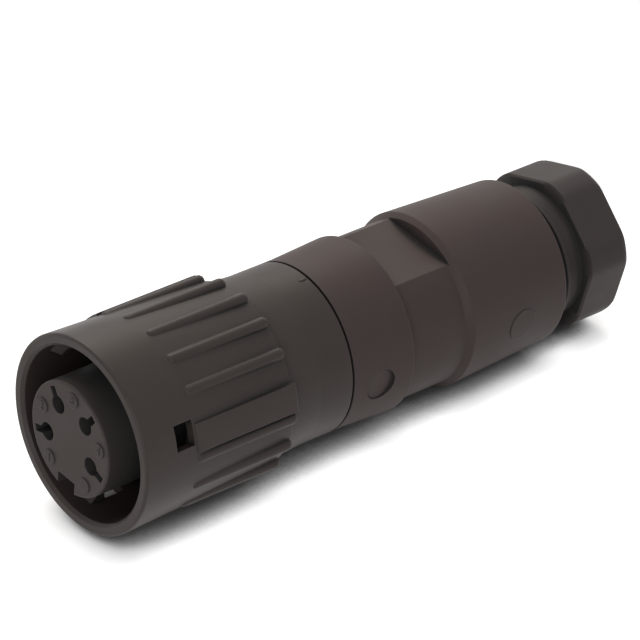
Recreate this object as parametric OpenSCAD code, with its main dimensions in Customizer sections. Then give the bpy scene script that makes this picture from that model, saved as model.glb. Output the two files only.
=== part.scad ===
// Circular bayonet cable plug with four socket contacts. A ribbed coupling ring turns on a
// barrel, a backshell with spanner flats closes the rear, and a hollow hexagonal clamping
// screw squeezes a rubber seal round the cable.
// The axis runs along X, from the ring's front rim at x = 0 to the cable end. Clock angles
// are counted round the axis from straight up, clockwise as seen from the mating face.
// Sizes are in millimetres and degrees.

/* [Insert] */
// Diameter of the nose that enters the mating socket
nose_d = 14.5; // [13.5:0.1:15.5]
// How far the nose stands out in front of the ring's rim
nose_proud = 1.45; // [0.5:0.05:2.5]
// Rounding of the nose's front edge
nose_edge = 0.25; // [0.1:0.05:0.5]
// Step in radius between the nose and the body behind it
body_step = 0.35; // [0.2:0.05:0.4]
// Step in radius between the body and the flange that locates it
insert_flange_step = 0.4; // [0.3:0.05:0.6]
// Thickness of that flange
insert_flange_t = 3; // [2:0.1:4]
// Length of the body from the barrel's front face to that flange
insert_grip = 15; // [12:0.1:16]
// Clock angle of the insert's key axis, with the key notch opposite
insert_clock = 5; // [0:0.5:30]
// Width of the key notch
key_w = 3.1; // [2:0.1:4]
// Distance of the key notch's floor from the axis
key_floor = 5.5; // [5.2:0.1:6.2]
// How far the key notch runs on below the mating seal
key_overrun = 0.5; // [0.2:0.1:1]
// Height of the number bosses on the face
boss_h = 0.15; // [0.05:0.05:0.4]
// Diameter of the number bosses
boss_d = 1.9; // [1.4:0.1:2.2]
// Distance of the number bosses from the axis
boss_pitch_r = 5.6; // [5:0.1:5.9]

/* [Contacts] */
// Distance of the contacts from the axis
pitch_r = 4.3; // [4:0.05:4.5]
// Bore of each socket, for the mating pin
socket_d = 1.6; // [1:0.1:1.8]
// Depth of that bore
socket_depth = 9; // [6:0.5:12]
// Wall of the spring fingers round the bore
finger_wall = 0.45; // [0.3:0.05:0.5]
// Length of the spring fingers
finger_len = 7.3; // [5:0.1:9]
// Width of the slit between the fingers
finger_slit = 0.3; // [0.2:0.05:0.4]
// Wall of the hood over the fingers
hood_wall = 0.23; // [0.15:0.01:0.35]
// Length of the hood's front lip
hood_lip = 0.3; // [0.2:0.05:0.5]
// Radial gap between the mating pin and that lip
hood_lip_gap = 0.2; // [0.16:0.01:0.25]
// Step in radius of the collar that locates a contact
collar_step = 0.4; // [0.3:0.05:0.5]
// Depth of the collar's seat in the rear of the insert
collar_seat = 2; // [1.5:0.1:2.5]
// Length of contact behind the insert
crimp_len = 9.5; // [7:0.5:10]
// Bore of the crimp barrel for the wire
wire_d = 2.1; // [1.6:0.1:2.3]
// Depth of that bore
wire_depth = 6; // [4:0.5:6.5]
// Diameter of the inspection hole in the crimp barrel
inspect_d = 0.8; // [0.5:0.1:1]
// Diameter of the opening in the face
keyhole_d = 2.3; // [1.9:0.1:2.6]
// Thickness of the face in front of a contact
face_t = 2.55; // [2:0.05:4]
// Width of the slot that runs out from each opening
slot_w = 0.95; // [0.6:0.05:1.2]
// Reach of that slot from the axis
slot_reach = 6.6; // [6:0.1:6.8]
// Depth of that slot
slot_depth = 6; // [3:0.5:9]
// Thickness of the plate that keeps the contacts in
retainer_t = 2.5; // [1.5:0.1:2.8]

/* [Barrel] */
// Wall of the barrel that the ring turns on
barrel_wall = 1.8; // [1.6:0.05:2.2]
// Thickness of the barrel's front flange
flange_t = 2; // [1.2:0.1:3]
// Gap between that flange and the ring's mouth
flange_gap = 0.3; // [0.15:0.05:0.4]
// Step in radius between the barrel and its rear spigot
spigot_step = 0.15; // [0.1:0.05:0.25]
// Gap between the spigot's end and the floor of the backshell's socket
spigot_gap = 0.5; // [0.3:0.1:1]
// Cord diameter of the O-ring on the spigot
oring_d = 0.78; // [0.6:0.02:0.8]
// Distance of the O-ring groove from the backshell's front face
oring_inset = 1.4; // [1:0.1:3]
// Wall of the spacer sleeve behind the insert
sleeve_wall = 1; // [0.7:0.05:1.2]
// Width of the slot along the spacer sleeve
sleeve_slot = 2.5; // [1:0.1:4]

/* [Coupling ring] */
// Radial space between the nose and the ring's mouth
mate_gap = 3.7; // [3.3:0.05:4]
// Depth of that space behind the rim, to the seal
mate_depth = 10.1; // [9:0.1:11]
// Wall of the ring at its mouth
mouth_wall = 1.55; // [1.4:0.05:2.2]
// Length of the ring
ring_len = 32.5; // [30:0.1:36]
// Length of the ring's tapers, up to the plain rear band
taper_len = 27.6; // [25:0.1:29]
// Wall of the plain rear band
tail_wall = 1.37; // [1:0.01:1.6]
// Rounding of the ring's front outer edge
rim_edge = 0.35; // [0.1:0.05:0.6]
// Lead-in chamfer of the mouth
mouth_lead = 0.4; // [0.2:0.05:0.8]
// Rounding of the ring's rear outer edge
tail_edge = 0.15; // [0.05:0.05:0.4]
// How far the grip crests lie below the rim's outside
crest_drop = 0; // [0:0.01:0.3]
// Start of the grips behind the rim
grip_start = 7.7; // [7.6:0.1:9]
// Length of the grips
grip_len = 15.2; // [12:0.1:17]
// Height of the grips at their rear, where the front taper ends
grip_h = 0.9; // [0.6:0.05:1]
// How far the grips run past that taper
grip_overrun = 0.2; // [0.1:0.05:0.4]
// Step in radius between the front taper and the rear one
taper_step = 0.43; // [0.2:0.01:0.6]
// Width of the broad pads
pad_w = 3.6; // [2.5:0.1:3.7]
// Rounding of the pads' ends
pad_edge = 0.4; // [0.1:0.05:0.6]
// Clock angle of the first pad
pad_clock = 77; // [60:0.5:90]
// Number of pads round the ring
pad_count = 3; // [2:1:3]
// Diameter of the round ribs between the pads
rib_d = 1.55; // [1.2:0.05:1.6]
// Ribs after each pad
rib_count = 5; // [2:1:5]
// Angle from a pad to its first rib
rib_first = 13.2; // [13:0.1:16]
// Angle from rib to rib
rib_pitch = 20.1; // [14:0.1:20.5]
// Start of the windows behind the rim
window_start = 4.75; // [4.5:0.05:4.85]
// Length of a window along the axis
window_len = 2.7; // [2:0.1:2.8]
// Width of a window round the ring
window_w = 3.2; // [2.4:0.1:3.6]
// Angle from the middle of a pad to the middle of its window
window_turn = -4; // [-6:0.5:2]
// Height of the bayonet lugs inside the mouth
lug_h = 1.05; // [0.4:0.05:1.2]
// Length of the bayonet lugs along the axis
lug_len = 2; // [1.2:0.1:2.5]
// Width of the bayonet lugs
lug_w = 3.2; // [2:0.1:3.2]
// Gap between a lug and its window
lug_gap = 0.2; // [0.1:0.05:0.5]

/* [Seals and spring] */
// Thickness of the flat mating seal
seal_t = 1.2; // [0.8:0.1:1.6]
// Radial gap between that seal and the flange's edge
seal_inset = 0.3; // [0.1:0.05:0.6]
// Room for the wave spring behind the barrel's flange
spring_room = 1.6; // [1.2:0.1:2.2]
// Thickness of the spring strip
spring_t = 0.3; // [0.2:0.05:0.4]
// Number of waves in the spring
spring_waves = 3; // [2:1:5]
// Radial gap of the spring to the barrel and to the ring
spring_inset = 0.25; // [0.15:0.05:0.4]

/* [Backshell] */
// Gap between the ring and the backshell
seam = 0.25; // [0.15:0.05:0.5]
// Length of the collar in front of the neck
shell_collar_len = 9.25; // [8.5:0.05:11]
// Growth in radius along the collar
collar_flare = 0.35; // [0.1:0.05:0.5]
// Straight length at the front of the collar
collar_straight = 1.4; // [0.5:0.1:3]
// Rounding of the outer edges at both ends of the neck
shell_edge = 0.3; // [0.1:0.05:0.5]
// Step in radius from the collar down to the neck
neck_drop = 0.7; // [0.4:0.05:1]
// Length of the neck
neck_len = 8.6; // [7:0.1:12]
// Length of the slope from the neck to the rear section
neck_slope = 1; // [0.4:0.1:2]
// Distance across the two spanner flats on the neck
flats_af = 18; // [17:0.1:20]
// Distance of the flats behind the collar and of their end behind the neck
flats_inset = 0.2; // [0.1:0.05:0.4]
// Clock angle of the first flat
shell_clock = 7; // [0:0.5:30]
// Step in radius from the ring's rear band to the rear section
rear_step = 0.38; // [0.2:0.01:0.8]
// Length of the rear section
rear_len = 15.7; // [14:0.1:20]
// Loss of radius along the rear section
rear_taper = 0.7; // [0.3:0.05:0.8]
// Rounding of the rear section's rear edge
rear_edge = 0.4; // [0.1:0.05:0.6]
// Distance of the seal chamber behind the slope
chamber_inset = 0.7; // [0.4:0.1:2]
// Floor of the front socket, in front of the neck
socket_floor = 0.75; // [0.5:0.05:1.5]
// How far the wire space is wider than the spacer sleeve's bore
cavity_step = 0.25; // [0.1:0.05:0.4]
// Diameter of the round moulding marks
mark_d = 4.2; // [3:0.1:5]
// Depth of the recessed mark on the collar
mark_depth = 0.4; // [0.1:0.05:0.5]
// Distance of that mark from the collar's front
mark_inset = 4.15; // [3:0.05:6]
// Height of the raised mark on the rear section
mark_raise = 0.08; // [0.05:0.01:0.3]
// Distance of that mark from the rear section's front
rear_mark_inset = 8.2; // [5:0.1:10]

/* [Clamping screw] */
// Diameter of the screw's threaded shank
shank_d = 17.8; // [17:0.1:18]
// Length of shank inside the backshell
shank_in = 5; // [4:0.1:6]
// Open gap between the backshell and the head
screw_gap = 4.3; // [3:0.1:5]
// Length of the undercut below the head
undercut_len = 1.3; // [0.6:0.1:2]
// Depth of the undercut
undercut = 0.5; // [0.2:0.05:0.8]
// Length of the head
head_len = 6.3; // [5:0.1:8]
// Distance across the head's flats
head_af = 19; // [18.5:0.1:20]
// Diameter over the head's rounded corners
head_corner_d = 21.4; // [20.2:0.1:21.8]
// Rounding of the head's rear edge
head_edge = 0.5; // [0.3:0.1:1.2]
// Chamfer of the head's front edge
head_chamfer = 0.25; // [0.1:0.05:0.5]
// Clock angle of the head's first flat
head_clock = 45; // [0:1:60]
// Diameter of the cable opening through the screw
entry_d = 11.2; // [10:0.1:12]
// Rounding of that opening's mouth
entry_edge = 1; // [0.5:0.1:1.5]
// Wall of the nose that carries the slip ring
screw_nose_wall = 0.9; // [0.6:0.05:1.2]
// Thickness of the slip ring
slip_t = 1.5; // [1:0.1:2]
// Bore of the cable seal
cable_d = 8; // [6:0.1:9]
// Free travel of the slip ring before it meets the seal
squeeze_gap = 1.95; // [1.9:0.05:2.4]
// Chamfer at both ends of the seal's bore
cable_lead = 0.8; // [0.3:0.1:1.2]

/* [Fits] */
// Radial clearance of pieces that are pushed together
fit = 0.05; // [0.02:0.01:0.08]
// Radial clearance of the O-ring in its groove
oring_fit = 0.01; // [0.005:0.005:0.02]
// Radial clearance of pieces that turn
run_fit = 0.05; // [0.03:0.01:0.09]
// Radial clearance round the contacts
loose_fit = 0.1; // [0.05:0.01:0.12]
// Axial clearance between a piece and its stop
end_play = 0.05; // [0.02:0.01:0.1]

/* [Hidden] */
$fn = 96;

// Colours of the pieces
SHELL_COLOUR = "#4a3f3a";
SCREW_COLOUR = "#2b2827";
BARREL_COLOUR = "#332d2a";
RUBBER_COLOUR = "#1c1b1b";
BRASS_COLOUR = "#c9b27a";
STEEL_COLOUR = "#b9bcbf";
RETAINER_COLOUR = "#3a3431";

// Cutting tools reach this far past the faces that they open
over = 1;
// Steps in a quarter of a rounded edge
edge_steps = 4;

// Radii, from the nose outwards
nose_r = nose_d / 2;
body_r = nose_r + body_step;
insert_flange_r = body_r + insert_flange_step;
barrel_bore_r = body_r + fit;
counter_r = insert_flange_r + fit;
barrel_r = barrel_bore_r + barrel_wall;
spigot_r = barrel_r - spigot_step;
ring_bore_r = barrel_r + run_fit;
mouth_r = nose_r + mate_gap;
rim_r = mouth_r + mouth_wall;
tail_r = ring_bore_r + tail_wall;
flange_r = mouth_r - flange_gap;
crest_r = rim_r - crest_drop;
taper_rear_r = crest_r - grip_h;
oring_r = oring_d / 2;
oring_centre_r = spigot_r + fit - oring_r - oring_fit;
oring_floor_r = oring_centre_r - oring_r - oring_fit;
sleeve_r = insert_flange_r - sleeve_wall;
shell_socket_r = spigot_r + fit;
cavity_r = sleeve_r + cavity_step;
collar_r = tail_r + collar_flare;
neck_r = collar_r - neck_drop;
rear_r = tail_r + rear_step;
rear_end_r = rear_r - rear_taper;
shank_r = shank_d / 2;
chamber_r = shank_r + run_fit;
entry_r = entry_d / 2;
screw_nose_r = entry_r + screw_nose_wall;
cable_r = cable_d / 2;

// Stations along the axis, from the front
face_x = -nose_proud;
cavity_x = face_x + face_t;
barrel_x = mate_depth + seal_t;
flange_rear_x = barrel_x + flange_t;
ring_step_x = flange_rear_x + spring_room;
insert_step_x = barrel_x + insert_grip;
insert_rear_x = insert_step_x + insert_flange_t;
retainer_rear_x = insert_rear_x + retainer_t;
contact_rear_x = insert_rear_x + crimp_len;
shell_x = ring_len + seam;
neck_x = shell_x + shell_collar_len;
neck_rear_x = neck_x + neck_len;
rear_x = neck_rear_x + neck_slope;
shell_rear_x = rear_x + rear_len;
shell_step_x = neck_x - socket_floor;
spigot_rear_x = shell_step_x - spigot_gap;
chamber_x = rear_x + chamber_inset;
shank_x = shell_rear_x - shank_in;
head_x = shell_rear_x + screw_gap;
head_rear_x = head_x + head_len;
slip_x = shank_x - end_play - slip_t;
seal_rear_x = slip_x - squeeze_gap;
grip_end_x = grip_start + grip_len;
taper_rear_x = grip_end_x - grip_overrun;

// Contacts stand at four of five equal places round the axis, and the key notch at the fifth
place_count = 5;
place_step = 360 / place_count;
contact_count = place_count - 1;
key_clock = insert_clock + 180;
socket_r = socket_d / 2;
finger_r = socket_r + finger_wall;
hood_bore_r = finger_r + fit / 2;
contact_r = hood_bore_r + hood_wall;
hood_x = cavity_x + 2 * end_play;
contact_x = hood_x + hood_lip + 2 * end_play;
hood_rear_x = contact_x + finger_len;
contact_collar_r = contact_r + collar_step;
cell_r = contact_r + loose_fit;
cell_rear_r = contact_collar_r + loose_fit;

// Angles of the ring's pattern
pad_pitch = 360 / pad_count;
// Steps round the wave spring
spring_steps = 72;

function contact_clock(i) = key_clock + i * place_step;

// Outer radius of the backshell's rear section at a station
function rear_taper_r(x) = rear_r - rear_taper * (x - rear_x) / rear_len;

// Points of a round edge, as [radius, station], about a centre and between two angles
function round_edge(centre, r, from, to) = [
    for (i = [0:edge_steps])
        let (a = from + (to - from) * i / edge_steps)
        centre + r * [cos(a), sin(a)]
];

// Solid of revolution about X, from points given as [radius, station]
module turned(points) {
    rotate([0, 90, 0])
        rotate_extrude()
            polygon(points);
}

// Part of such a solid, spread evenly about one clock angle
module turned_sector(points, clock, spread) {
    rotate([clock - 180 - spread / 2, 0, 0])
        rotate([0, 90, 0])
            rotate_extrude(angle = spread)
                polygon(points);
}

// Round bar along X
module bar(r, from, to) {
    translate([from, 0, 0])
        rotate([0, 90, 0])
            cylinder(r = r, h = to - from);
}

// Six-sided bar along X with a flat facing up
module hex_bar(af, from, to) {
    translate([from, 0, 0])
        rotate([30, 0, 0])
            rotate([0, 90, 0])
                cylinder(r = af / 2 / cos(30), h = to - from, $fn = 6);
}

// Places what is drawn at the top at a clock angle
module at_clock(angle) {
    rotate([angle, 0, 0])
        children();
}

// Places what is drawn about the axis at one contact's place
module at_contact(i) {
    at_clock(contact_clock(i))
        translate([0, 0, pitch_r])
            children();
}

// Coupling ring

module ring_outside() {
    turned(concat(
        [[0, 0]],
        round_edge([rim_r - rim_edge, rim_edge], rim_edge, -90, 0),
        [
            [taper_rear_r, taper_rear_x],
            [taper_rear_r - taper_step, taper_rear_x],
            [tail_r, taper_len]
        ],
        round_edge([tail_r - tail_edge, ring_len - tail_edge], tail_edge, 0, 90),
        [[0, ring_len]]
    ));
}

module ring_inside() {
    turned([
        [0, -over],
        [mouth_r + mouth_lead + over, -over],
        [mouth_r, mouth_lead],
        [mouth_r, ring_step_x],
        [ring_bore_r, ring_step_x],
        [ring_bore_r, ring_len + over],
        [0, ring_len + over]
    ]);
}

module ring_pad() {
    intersection() {
        turned(concat(
            [[0, grip_start]],
            round_edge([crest_r - pad_edge, grip_start + pad_edge], pad_edge, -90, 0),
            round_edge([crest_r - pad_edge, grip_end_x - pad_edge], pad_edge, 0, 90),
            [[0, grip_end_x]]
        ));
        translate([grip_start - over, -pad_w / 2, mouth_r])
            cube([grip_len + 2 * over, pad_w, crest_r]);
    }
}

// Round rib with ball ends, its crest level with the pads
module ring_rib() {
    r = rib_d / 2;
    translate([0, 0, crest_r - r])
        turned(concat(
            round_edge([0, grip_start + r], r, -90, 0),
            round_edge([0, grip_end_x - r], r, 0, 90)
        ));
}

module ring_lug(clock) {
    lug_rear_x = window_start - lug_gap;
    lug_front_x = lug_rear_x - lug_len;
    spread = 2 * asin(lug_w / 2 / mouth_r);
    turned_sector([
        [mouth_r + mouth_wall / 2, lug_front_x],
        [mouth_r, lug_front_x],
        [mouth_r - lug_h, lug_front_x + lug_h],
        [mouth_r - lug_h, lug_rear_x],
        [mouth_r + mouth_wall / 2, lug_rear_x]
    ], clock, spread);
}

module coupling_ring() {
    color(SHELL_COLOUR)
        difference() {
            union() {
                difference() {
                    union() {
                        ring_outside();
                        for (p = [0:pad_count - 1]) {
                            at_clock(pad_clock + p * pad_pitch)
                                ring_pad();
                            for (i = [0:rib_count - 1])
                                at_clock(pad_clock + p * pad_pitch + rib_first + i * rib_pitch)
                                    ring_rib();
                        }
                    }
                    ring_inside();
                }
                for (p = [0:pad_count - 1])
                    ring_lug(pad_clock + window_turn + p * pad_pitch);
            }
            for (p = [0:pad_count - 1])
                at_clock(pad_clock + window_turn + p * pad_pitch)
                    translate([window_start, -window_w / 2, nose_r])
                        cube([window_len, window_w, rim_r]);
        }
}

// Barrel and what seals and springs against it

module barrel() {
    groove_x = shell_x + oring_inset;
    groove_rear_x = groove_x + oring_d + 2 * end_play;
    color(BARREL_COLOUR)
        turned([
            [barrel_bore_r, barrel_x],
            [flange_r, barrel_x],
            [flange_r, flange_rear_x],
            [barrel_r, flange_rear_x],
            [barrel_r, shell_x],
            [spigot_r, shell_x],
            [spigot_r, groove_x],
            [oring_floor_r, groove_x],
            [oring_floor_r, groove_rear_x],
            [spigot_r, groove_rear_x],
            [spigot_r, spigot_rear_x],
            [counter_r, spigot_rear_x],
            [counter_r, insert_step_x],
            [barrel_bore_r, insert_step_x]
        ]);
}

module mating_seal() {
    color(RUBBER_COLOUR)
        turned([
            [barrel_bore_r, mate_depth],
            [flange_r - seal_inset, mate_depth],
            [flange_r - seal_inset, barrel_x],
            [barrel_bore_r, barrel_x]
        ]);
}

module barrel_oring() {
    color(RUBBER_COLOUR)
        translate([shell_x + oring_inset + end_play + oring_r, 0, 0])
            rotate([0, 90, 0])
                rotate_extrude()
                    translate([oring_centre_r, 0])
                        circle(r = oring_r, $fn = 32);
}

// Wavy flat ring that bears on the flange and on the step inside the coupling ring
module wave_spring() {
    inner = barrel_r + spring_inset;
    outer = mouth_r - spring_inset;
    middle_x = flange_rear_x + spring_room / 2;
    swing = (spring_room - spring_t) / 2 - end_play;
    points = [
        for (i = [0:spring_steps - 1])
            let (a = 360 * i / spring_steps, x = middle_x + swing * sin(spring_waves * a))
            for (corner = [[inner, -1], [outer, -1], [outer, 1], [inner, 1]])
                [x + corner[1] * spring_t / 2, -corner[0] * sin(a), corner[0] * cos(a)]
    ];
    faces = [
        for (i = [0:spring_steps - 1])
            for (k = [0:3])
                let (a = 4 * i, b = 4 * ((i + 1) % spring_steps), n = (k + 1) % 4)
                for (f = [[a + k, b + n, a + n], [a + k, b + k, b + n]])
                    f
    ];
    color(STEEL_COLOUR)
        polyhedron(points, faces);
}

// Insert and contacts

module contact_insert() {
    color(SHELL_COLOUR)
        difference() {
            union() {
                turned(concat(
                    [[0, face_x]],
                    round_edge([nose_r - nose_edge, face_x + nose_edge], nose_edge, -90, 0),
                    [
                        [nose_r, mate_depth],
                        [body_r, mate_depth],
                        [body_r, insert_step_x],
                        [insert_flange_r, insert_step_x],
                        [insert_flange_r, insert_rear_x],
                        [0, insert_rear_x]
                    ]
                ));
                for (i = [0:place_count - 1])
                    at_clock(key_clock + (i + 0.5) * place_step)
                        translate([0, 0, boss_pitch_r])
                            bar(boss_d / 2, face_x - boss_h, face_x + nose_edge);
            }
            for (i = [1:contact_count]) {
                at_contact(i) {
                    bar(keyhole_d / 2, face_x - over, cavity_x + over);
                    bar(cell_r, cavity_x, insert_rear_x + over);
                    bar(cell_rear_r, insert_rear_x - collar_seat, insert_rear_x + over);
                }
                at_clock(contact_clock(i))
                    translate([face_x - over, -slot_w / 2, pitch_r])
                        cube([slot_depth + over, slot_w, slot_reach - pitch_r]);
            }
            at_clock(key_clock)
                translate([face_x - over, -key_w / 2, key_floor])
                    cube([mate_depth + key_overrun - face_x + over, key_w, nose_r]);
        }
}

module contact_retainer() {
    color(RETAINER_COLOUR)
        difference() {
            bar(insert_flange_r, insert_rear_x, retainer_rear_x);
            for (i = [1:contact_count])
                at_contact(i)
                    bar(cell_r, insert_rear_x - over, retainer_rear_x + over);
        }
}

module contact(i) {
    wire_r = wire_d / 2;
    wire_floor_x = contact_rear_x - wire_depth;
    color(BRASS_COLOUR)
        at_contact(i)
            difference() {
                turned([
                    [0, contact_x],
                    [finger_r, contact_x],
                    [finger_r, hood_rear_x],
                    [contact_r, hood_rear_x],
                    [contact_r, insert_rear_x - collar_seat],
                    [contact_collar_r, insert_rear_x - collar_seat],
                    [contact_collar_r, insert_rear_x - end_play],
                    [contact_r, insert_rear_x - end_play],
                    [contact_r, contact_rear_x],
                    [0, contact_rear_x]
                ]);
                bar(socket_r, contact_x - over, contact_x + socket_depth);
                bar(wire_r, wire_floor_x, contact_rear_x + over);
                translate([contact_x - over, -finger_slit / 2, -contact_r])
                    cube([finger_len - finger_slit + over, finger_slit, 2 * contact_r]);
                translate([wire_floor_x + inspect_d, 0, 0])
                    cylinder(d = inspect_d, h = contact_r + over, $fn = 32);
            }
}

// Thin steel sleeve that guards a contact's spring fingers
module contact_hood(i) {
    lip_r = socket_r + hood_lip_gap;
    color(STEEL_COLOUR)
        at_contact(i)
            turned([
                [lip_r, hood_x],
                [contact_r, hood_x],
                [contact_r, hood_rear_x],
                [hood_bore_r, hood_rear_x],
                [hood_bore_r, hood_x + hood_lip],
                [lip_r, hood_x + hood_lip]
            ]);
}

// Slotted tube that holds the retainer against the insert
module spacer_sleeve() {
    color(RETAINER_COLOUR)
        difference() {
            turned([
                [sleeve_r, retainer_rear_x],
                [insert_flange_r, retainer_rear_x],
                [insert_flange_r, shell_step_x],
                [sleeve_r, shell_step_x]
            ]);
            at_clock(key_clock)
                translate([retainer_rear_x + sleeve_slot, -sleeve_slot / 2, 0])
                    cube([shell_step_x - retainer_rear_x, sleeve_slot, insert_flange_r + over]);
        }
}

// Backshell

module shell_outside() {
    turned(concat(
        [
            [0, shell_x],
            [tail_r, shell_x],
            [tail_r, shell_x + collar_straight]
        ],
        round_edge([collar_r - shell_edge, neck_x - shell_edge], shell_edge, 0, 90),
        [
            [neck_r, neck_x],
            [neck_r, neck_rear_x]
        ],
        round_edge([rear_r - shell_edge, rear_x], shell_edge, -45, 0),
        round_edge([rear_end_r - rear_edge, shell_rear_x - rear_edge], rear_edge, 0, 90),
        [[0, shell_rear_x]]
    ));
}

module shell_inside() {
    turned([
        [0, shell_x - over],
        [shell_socket_r, shell_x - over],
        [shell_socket_r, shell_step_x],
        [cavity_r, shell_step_x],
        [cavity_r, chamber_x],
        [chamber_r, chamber_x],
        [chamber_r, shell_rear_x + over],
        [0, shell_rear_x + over]
    ]);
}

// Patch that stands proud of the rear section and follows its taper
module raised_mark() {
    from = rear_x + rear_mark_inset - mark_d;
    to = from + 2 * mark_d;
    intersection() {
        turned([
            [0, from],
            [rear_taper_r(from) + mark_raise, from],
            [rear_taper_r(to) + mark_raise, to],
            [0, to]
        ]);
        translate([rear_x + rear_mark_inset, 0, chamber_r])
            cylinder(d = mark_d, h = rear_r, $fn = 48);
    }
}

module backshell() {
    side = shell_clock + 90;
    mark_x = shell_x + mark_inset;
    mark_floor_r = tail_r - mark_depth + collar_flare * mark_inset / shell_collar_len;
    color(SHELL_COLOUR)
        difference() {
            union() {
                shell_outside();
                at_clock(side)
                    raised_mark();
            }
            shell_inside();
            for (turn = [0, 180])
                at_clock(shell_clock + turn)
                    translate([neck_x + flats_inset, -neck_r, flats_af / 2])
                        cube([neck_len, 2 * neck_r, rear_r]);
            at_clock(side)
                translate([mark_x, 0, mark_floor_r])
                    cylinder(d = mark_d, h = tail_r, $fn = 48);
        }
}

// Cable clamp

module gland_seal() {
    color(RUBBER_COLOUR)
        turned([
            [cable_r + cable_lead, chamber_x],
            [chamber_r - fit, chamber_x],
            [chamber_r - fit, seal_rear_x],
            [cable_r + cable_lead, seal_rear_x],
            [cable_r, seal_rear_x - cable_lead],
            [cable_r, chamber_x + cable_lead]
        ]);
}

// Ring that the screw pushes on the seal, so that turning the screw doesn't twist it
module slip_ring() {
    color(STEEL_COLOUR)
        turned([
            [screw_nose_r + run_fit, slip_x],
            [chamber_r - run_fit, slip_x],
            [chamber_r - run_fit, slip_x + slip_t],
            [screw_nose_r + run_fit, slip_x + slip_t]
        ]);
}

module screw_shank() {
    thread_end_x = head_x - undercut_len;
    turned([
        [0, slip_x + end_play],
        [screw_nose_r, slip_x + end_play],
        [screw_nose_r, shank_x],
        [shank_r, shank_x],
        [shank_r, thread_end_x],
        [shank_r - undercut, thread_end_x],
        [shank_r - undercut, head_x + head_chamfer],
        [0, head_x + head_chamfer]
    ]);
}

module screw_head() {
    corner_r = head_corner_d / 2;
    intersection() {
        turned(concat(
            [
                [0, head_x],
                [corner_r - head_chamfer, head_x],
                [corner_r, head_x + head_chamfer]
            ],
            round_edge([corner_r - head_edge, head_rear_x - head_edge], head_edge, 0, 90),
            [[0, head_rear_x]]
        ));
        at_clock(head_clock)
            hex_bar(head_af, head_x - over, head_rear_x + over);
    }
}

module clamp_screw() {
    color(SCREW_COLOUR)
        difference() {
            union() {
                screw_shank();
                screw_head();
            }
            turned(concat(
                [
                    [0, slip_x],
                    [entry_r, slip_x]
                ],
                round_edge([entry_r + entry_edge, head_rear_x - entry_edge], entry_edge, 180, 90),
                [
                    [entry_r + entry_edge, head_rear_x + over],
                    [0, head_rear_x + over]
                ]
            ));
        }
}

coupling_ring();
barrel();
contact_insert();
contact_retainer();
contact(1);  // contact_1
contact(2);  // contact_2
contact(3);  // contact_3
contact(4);  // contact_4
contact_hood(1);  // contact_hood_1
contact_hood(2);  // contact_hood_2
contact_hood(3);  // contact_hood_3
contact_hood(4);  // contact_hood_4
spacer_sleeve();
mating_seal();
barrel_oring();
wave_spring();
backshell();
gland_seal();
slip_ring();
clamp_screw();
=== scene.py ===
"""Looks of a circular bayonet cable plug: its finishes, fine detail, studio and camera."""

import logging
import math
from dataclasses import dataclass, field
from enum import Enum
from typing import Callable, ClassVar, Iterable, Sequence, Union

import bmesh
import bpy
from mathutils import Matrix, Vector


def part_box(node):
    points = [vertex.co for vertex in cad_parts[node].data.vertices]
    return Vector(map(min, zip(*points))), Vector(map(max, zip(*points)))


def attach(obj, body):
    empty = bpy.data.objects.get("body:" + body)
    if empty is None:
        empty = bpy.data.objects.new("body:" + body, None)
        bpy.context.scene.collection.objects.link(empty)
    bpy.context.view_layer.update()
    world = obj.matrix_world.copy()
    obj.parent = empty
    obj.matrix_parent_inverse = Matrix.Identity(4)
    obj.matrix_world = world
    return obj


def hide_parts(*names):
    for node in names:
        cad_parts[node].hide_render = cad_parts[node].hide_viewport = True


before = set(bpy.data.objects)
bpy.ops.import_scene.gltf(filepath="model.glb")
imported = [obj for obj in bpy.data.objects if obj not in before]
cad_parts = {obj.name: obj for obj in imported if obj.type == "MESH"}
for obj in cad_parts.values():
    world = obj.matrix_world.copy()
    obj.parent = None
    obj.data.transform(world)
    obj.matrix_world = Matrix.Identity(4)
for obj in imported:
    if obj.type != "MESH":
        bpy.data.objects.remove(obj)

LOG = logging.getLogger("plug")
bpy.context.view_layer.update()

MM = 0.001
FULL_TURN = 2 * math.pi
QUARTER_TURN = math.pi / 2
SHARP_ANGLE = math.radians(32)
# Turns a mesh that is flat in its own XY plane to face the plug's front, with its top up
FACE_FRONT = Matrix(((0, 0, -1, 0), (-1, 0, 0, 0), (0, 1, 0, 0), (0, 0, 0, 1)))

Colour = tuple[float, float, float]
Value = Union[float, tuple, bpy.types.NodeSocket]
Sockets = dict[str, bpy.types.NodeSocket]

WHITE: Colour = (1.0, 1.0, 1.0)


class Slot(Enum):
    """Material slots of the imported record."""

    SHELL = "shell_plastic"
    INSERT = "insert_plastic"
    SCREW = "screw_plastic"


class Body(Enum):
    """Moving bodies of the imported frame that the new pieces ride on."""

    HOUSING = "housing"
    RING = "ring"
    SCREW = "screw"


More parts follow.
